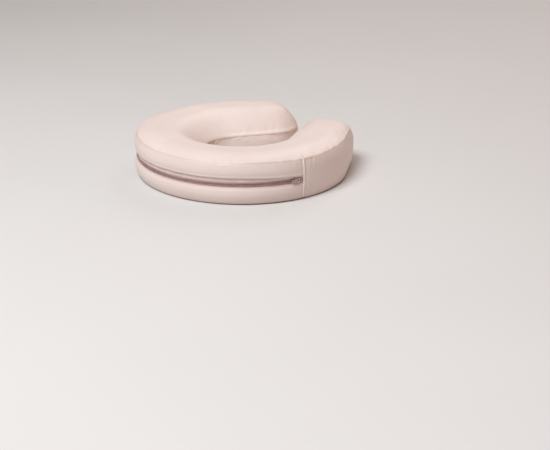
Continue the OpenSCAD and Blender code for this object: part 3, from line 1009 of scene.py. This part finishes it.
def build_slider():
    """The slider: two plates joined by a neck, with lips round the coils, and a bridge."""
    spot = Spot(PARK_ANGLE, OUTER_R - 1.25 * MM)
    half_long, half_wide = 4.3 * MM, 3.9 * MM
    shape = rounded(half_long, half_wide, 1.3 * MM)
    shape[:, 1] *= 1 - 0.24 * smooth(shape[:, 0] / half_long)
    parts = [spot.plate(shape, 0, 0.85 * MM, 0.28 * MM)]
    parts.append(spot.plate(shape, -3.45 * MM, 0.8 * MM, 0.25 * MM))
    for up in (-1, 1):
        lip = rounded(4.1 * MM, 0.42 * MM, 0.3 * MM, 3)
        lip[:, 1] += up * (3.45 * MM - 0.7 * MM * smooth(lip[:, 0] / half_long))
        parts.append(spot.plate(lip, -0.75 * MM, 0.9 * MM, 0.2 * MM))
    crest = rounded(3.2 * MM, 0.75 * MM, 0.7 * MM, 4)
    parts.append(spot.plate(crest, 0.75 * MM, 0.35 * MM, 0.15 * MM))
    neck = rounded(3.6 * MM, 0.3 * MM, 0.25 * MM, 3)
    parts.append(spot.plate(neck, -3.0 * MM, 3.2 * MM, 0.05 * MM))
    slider = add_mesh("slider_body", *join(parts), ZIP_METAL, "slider", "zip_metal", sharp=50)
    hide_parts("zip_slider")
    a = np.linspace(0, math.pi, 15)
    along = -2.55 * MM * np.cos(a) * (1 + 0.1 * np.sin(a))
    arch = spot.place(along, 0.75 * MM + 2.25 * MM * np.sin(a) ** 0.6, 0)[None]
    tubes("slider_bridge", arch, spot.up, 0.42 * MM, ZIP_METAL, "slider", "zip_metal", sides=10,
          flat=1.7)


def build_pull():
    """The pull: two arms from its axle under the bridge to a short tab with an eye."""
    spot = Spot(PARK_ANGLE, OUTER_R + 0.35 * MM, 3.0)
    middle = [-6.5 * MM, 0]  # of the tab, from the axle
    tab = rounded(2.6 * MM, 2.5 * MM, 1.3 * MM) + middle
    eye = rounded(1.2 * MM, 1.2 * MM, 1.19 * MM) + middle
    parts = [spot.plate(tab, -0.45 * MM, 0.9 * MM, 0.22 * MM, eye)]
    for up in (-1, 1):
        arm = rounded(2.3 * MM, 0.5 * MM, 0.3 * MM, 4) + [-2.1 * MM, up * 1.98 * MM]
        parts.append(spot.plate(arm, -0.4 * MM, 0.8 * MM, 0.2 * MM))
    pull = add_mesh("pull_tab", *join(parts), ZIP_METAL, "pull", "zip_metal", sharp=50)
    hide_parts("zip_pull")
    axle = spot.place(0, 0, np.linspace(-2.4, 2.4, 6) * MM)[None]
    tubes("pull_axle", axle, spot.out, 0.45 * MM, ZIP_METAL, "pull", "zip_metal", sides=12)


def build_stops():
    for node, side in (("zip_stop_right", 1), ("zip_stop_left", -1)):
        spot = Spot(side * (COIL_ANGLE + 0.45), OUTER_R - TAPE_IN + 0.1 * MM)
        block = spot.plate(rounded(0.85 * MM, 2.5 * MM, 0.5 * MM, 5), 0, 1.5 * MM, 0.35 * MM)
        stop = add_mesh(node + "_clamp", *block, ZIP_METAL, "cushion", "zip_metal", sharp=50)
        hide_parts(node)


# -------- underside and inside
def build_strips():
    """Loop tapes: a woven strip with a field of pile, sewn down round its border."""
    rng = np.random.default_rng(5)
    for node in ("loop_strip_right", "loop_strip_left", "loop_strip_front"):
        low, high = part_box(node)
        middle = np.array((low + high) / 2)
        half = np.array((high - low) / 2)
        counts = (25, 97) if half[1] > half[0] else (97, 25)
        x = np.linspace(-half[0], half[0], counts[0])
        y = np.linspace(-half[1], half[1], counts[1])[:, None]
        edge = np.minimum(half[0] - np.abs(x), half[1] - np.abs(y))
        drop = 0.8 * MM * smooth((edge - 0.9 * MM) / (1.6 * MM)) + 0.12 * MM
        drop = drop * (1 - 0.16 * rng.random(drop.shape))
        grid = np.stack(np.broadcast_arrays(middle[0] + x, middle[1] + y, high.z - drop), -1)
        strip = shell(node + "_pile", grid, LOOP_PILE, "loop_tape", -0.1 * MM, turned=True)
        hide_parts(node)
        corners = np.array([[-1, -1], [1, -1], [1, 1], [-1, 1]]) * (half[:2] - 1.6 * MM)
        sides = zip(corners, np.roll(corners, -1, 0))
        path = closed(np.concatenate([np.linspace(a, b, 30)[:-1] for a, b in sides]))
        path = np.concatenate([path + middle[:2], np.full((len(path), 1), high.z - 0.55 * MM)], 1)
        stitches(node + "_stitches", path, DOWNWARD, 3 * MM, 0.7, 0.1 * MM, 0.3 * MM, 0.2 * MM,
                 LOOP_THREAD, "loop_tape")


FIRM_SHARE = 0.75  # of the pad's height


def build_foam():
    """The two foam layers inside the cover: a firm slab and a soft layer on it."""
    edge = np.full((1, 1), TAPE_IN + 2.6 * MM)
    rows = np.array([6, 9, 14, 20, 27, 35, 44.5])[:, None] * MM

    def split(d):
        return FIRM_SHARE * top_z(coarse, d)

    layers = (
        ("foam_core_firm", "foam_base", FIRM_FOAM, "firm_foam", 1.0,
         lambda d: BASE_Z + 1.6 * MM + 0 * d, lambda d: split(d) - 0.3 * MM),
        ("foam_core_soft", "foam_top", SOFT_FOAM, "soft_foam", 0.9,
         split, lambda d: top_z(coarse, d) - 3.6 * MM))
    for name, node, finish, slot, fill, low, high in layers:
        grid = np.concatenate([coarse.at(rows[::-1], low(rows[::-1])),
                               coarse.at(top_in(coarse, edge), low(edge)),
                               coarse.at(top_in(coarse, edge), high(edge)),
                               coarse.at(top_in(coarse, rows), high(rows))])
        faces = rows_to_faces(len(grid), coarse.count, True)
        faces += middle_faces(coarse, 0, True)
        faces += middle_faces(coarse, (len(grid) - 1) * coarse.count)
        core = add_mesh(name, grid.reshape(-1, 3), faces, finish, "cushion", slot)
        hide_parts(node)


build_walls()
build_bands()
build_base()
build_seams(*build_top())
build_tapes()
build_coils()
build_stops()
build_slider()
build_pull()
build_strips()
build_foam()


# -------- stage, light and camera
CAMERA_AT = Vector((1.1387, -1.0031, 0.520))
TURN, DOWN, ROLL = (math.radians(a) for a in (46.85, 21.765, 0.37))  # of the camera
LENS = 74.0
ahead = Vector((-math.sin(TURN) * math.cos(DOWN), math.cos(TURN) * math.cos(DOWN), -math.sin(DOWN)))
right = Vector((math.cos(TURN), math.sin(TURN), 0))
upward = right.cross(ahead)


def build_camera():
    camera = bpy.data.objects.new("camera", bpy.data.cameras.new("camera"))
    camera.data.lens = LENS
    axes = (math.cos(ROLL) * right + math.sin(ROLL) * upward,
            math.cos(ROLL) * upward - math.sin(ROLL) * right, -ahead)
    camera.matrix_world = Matrix.Translation(CAMERA_AT) @ Matrix(axes).transposed().to_4x4()
    bpy.context.scene.collection.objects.link(camera)
    bpy.context.scene.camera = camera


LIGHT_FAR = 2.4


def build_light(name, toward, size, power, colour):
    """An area light that stands toward that direction and shines at the cushion."""
    light = bpy.data.objects.new(name, bpy.data.lights.new(name, "AREA"))
    light.data.size = size
    light.data.energy = power
    light.data.color = colour
    toward = toward.normalized()
    light.location = Vector((0, 0, 0.04)) + toward * LIGHT_FAR
    light.rotation_euler = toward.to_track_quat("Z", "Y").to_euler()
    bpy.context.scene.collection.objects.link(light)


def build_stage():
    floor = bpy.data.meshes.new("floor")
    corners = [(-6, -6, 0), (6, -6, 0), (6, 6, 0), (-6, 6, 0)]
    floor.from_pydata(corners, [], [(0, 1, 2, 3)])
    plane = bpy.data.objects.new("floor", floor)
    bpy.context.scene.collection.objects.link(plane)
    pale = Finish("floor_pale", 0.7)
    pale.colour(pale.mix(pale.noise(3, 3, 0.5), (214, 211, 210), (208, 205, 204)))
    floor.materials.append(pale.material)
    world = bpy.data.worlds.new("studio")
    world.use_nodes = True
    background = world.node_tree.nodes["Background"]
    background.inputs["Color"].default_value = (1.0, 0.87, 0.80, 1)
    background.inputs["Strength"].default_value = 0.28
    bpy.context.scene.world = world
    bpy.context.scene.view_settings.view_transform = "Standard"


build_camera()
build_stage()
build_light("key", -0.48 * right - 0.76 * ahead + Vector((0, 0, 1.0)), 1.1, 56, (0.96, 0.995, 1.01))
build_light("back", 0.4 * right + 0.9 * ahead + Vector((0, 0, 1.1)), 1.4, 11, (1.0, 0.97, 0.95))
build_light("warm_side", right + 0.2 * ahead + Vector((0, 0, 0.3)), 1.4, 6, (1.0, 0.42, 0.20))
